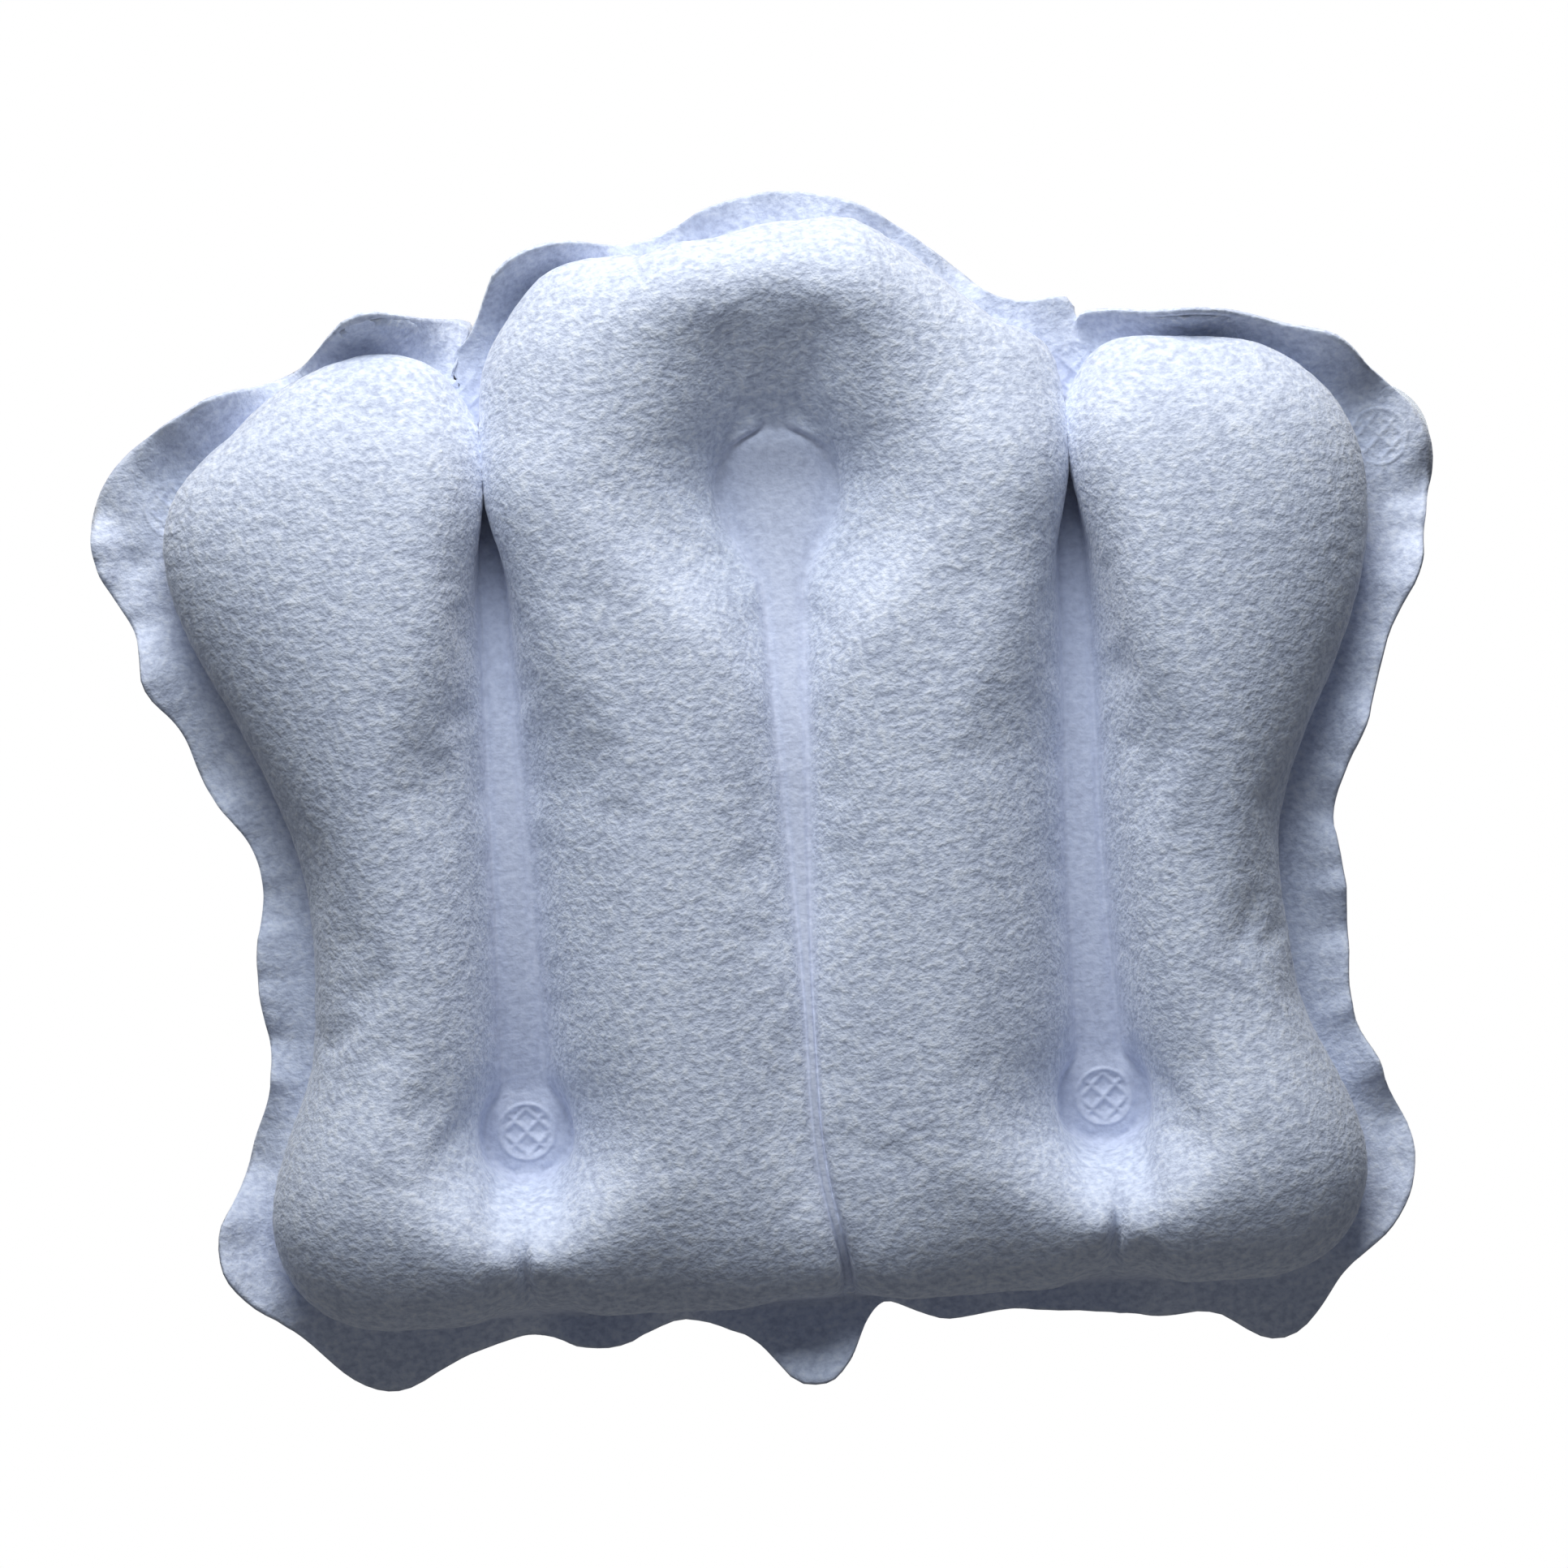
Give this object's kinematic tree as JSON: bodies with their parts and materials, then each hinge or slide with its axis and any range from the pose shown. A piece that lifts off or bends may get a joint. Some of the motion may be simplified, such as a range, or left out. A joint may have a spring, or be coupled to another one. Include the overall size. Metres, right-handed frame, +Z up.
{
  "type": "bath pillow",
  "caption": "Inflatable terry bath pillow with upright welded lobes, a raised headrest, suction cups on the back and a push-in air valve.",
  "frame": {"origin": "middle of the wall plane that the lips of the suction cups lie in, level with the middle of the pillow's height", "axes": "+X to the right seen from the front, -Y out of the front towards the head, +Z up"},
  "size_m": [0.382, 0.0709, 0.3383],
  "materials": {
    "front_terry": "pale lavender-blue terry pile on vinyl sheet",
    "back_terry": "pale lavender-blue terry pile on vinyl sheet",
    "cup_vinyl": "clear soft vinyl, glossy",
    "valve_vinyl": "milky soft vinyl, satin"
  },
  "bodies": {
    "root": {"front_panel": "front_terry", "back_panel": "back_terry", "suction_cup_upper_left": "cup_vinyl", "suction_cup_upper_right": "cup_vinyl", "suction_cup_shoulder_left": "cup_vinyl", "suction_cup_shoulder_right": "cup_vinyl", "suction_cup_lower_left": "cup_vinyl", "suction_cup_lower_right": "cup_vinyl", "valve_base": "valve_vinyl", "valve_diaphragm": "valve_vinyl"},
    "stem": {"valve_stem": "valve_vinyl"},
    "plug": {"valve_plug": "valve_vinyl", "plug_strap": "valve_vinyl"},
    "flap": {"check_flap": "valve_vinyl"}
  },
  "joints": [
    {"name": "stem_pull", "type": "slide", "parent": "root", "child": "stem", "axis": [0, 1, 0], "range_m": [0, 0.01], "deforming": ["valve_diaphragm"]},
    {"name": "plug_swing", "type": "hinge", "parent": "stem", "child": "plug", "pos_m": [0.03915, -0.0042, -0.05], "axis": [1, 0, 0], "range_deg": [0, 150]},
    {"name": "flap_open", "type": "hinge", "parent": "stem", "child": "flap", "pos_m": [0.03915, -0.0208, -0.0557], "axis": [-1, 0, 0], "range_deg": [0, 45]}
  ]
}
